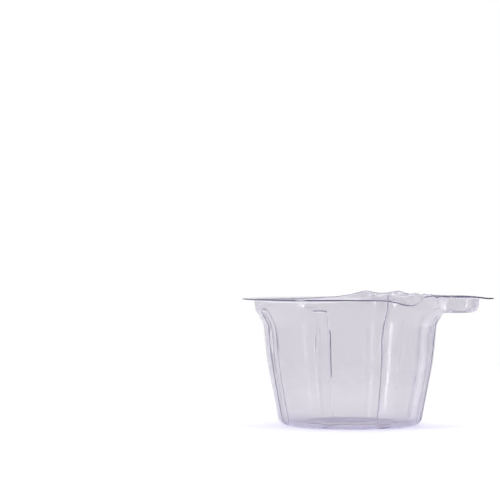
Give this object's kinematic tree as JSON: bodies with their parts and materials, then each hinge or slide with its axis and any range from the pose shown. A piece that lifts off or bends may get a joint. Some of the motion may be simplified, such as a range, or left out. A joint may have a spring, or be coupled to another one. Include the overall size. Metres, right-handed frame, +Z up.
{
  "type": "specimen cup",
  "caption": "Round tapered clear cup with a shallow pouring pouch at one side, a thin wavy flange with raised wings and upright grooves in its wall, formed from thin sheet.",
  "frame": {"origin": "centre of the flat floor's underside, where the cup stands", "axes": "+Z up through the mouth, +X towards the pouring pouch, XZ the mirror plane"},
  "size_m": [0.0794, 0.069, 0.043],
  "materials": {
    "clear_sheet": "clear thermoformed PVC sheet with a faint violet tint"
  },
  "bodies": {
    "root": {"cup": "clear_sheet"}
  },
  "joints": []
}
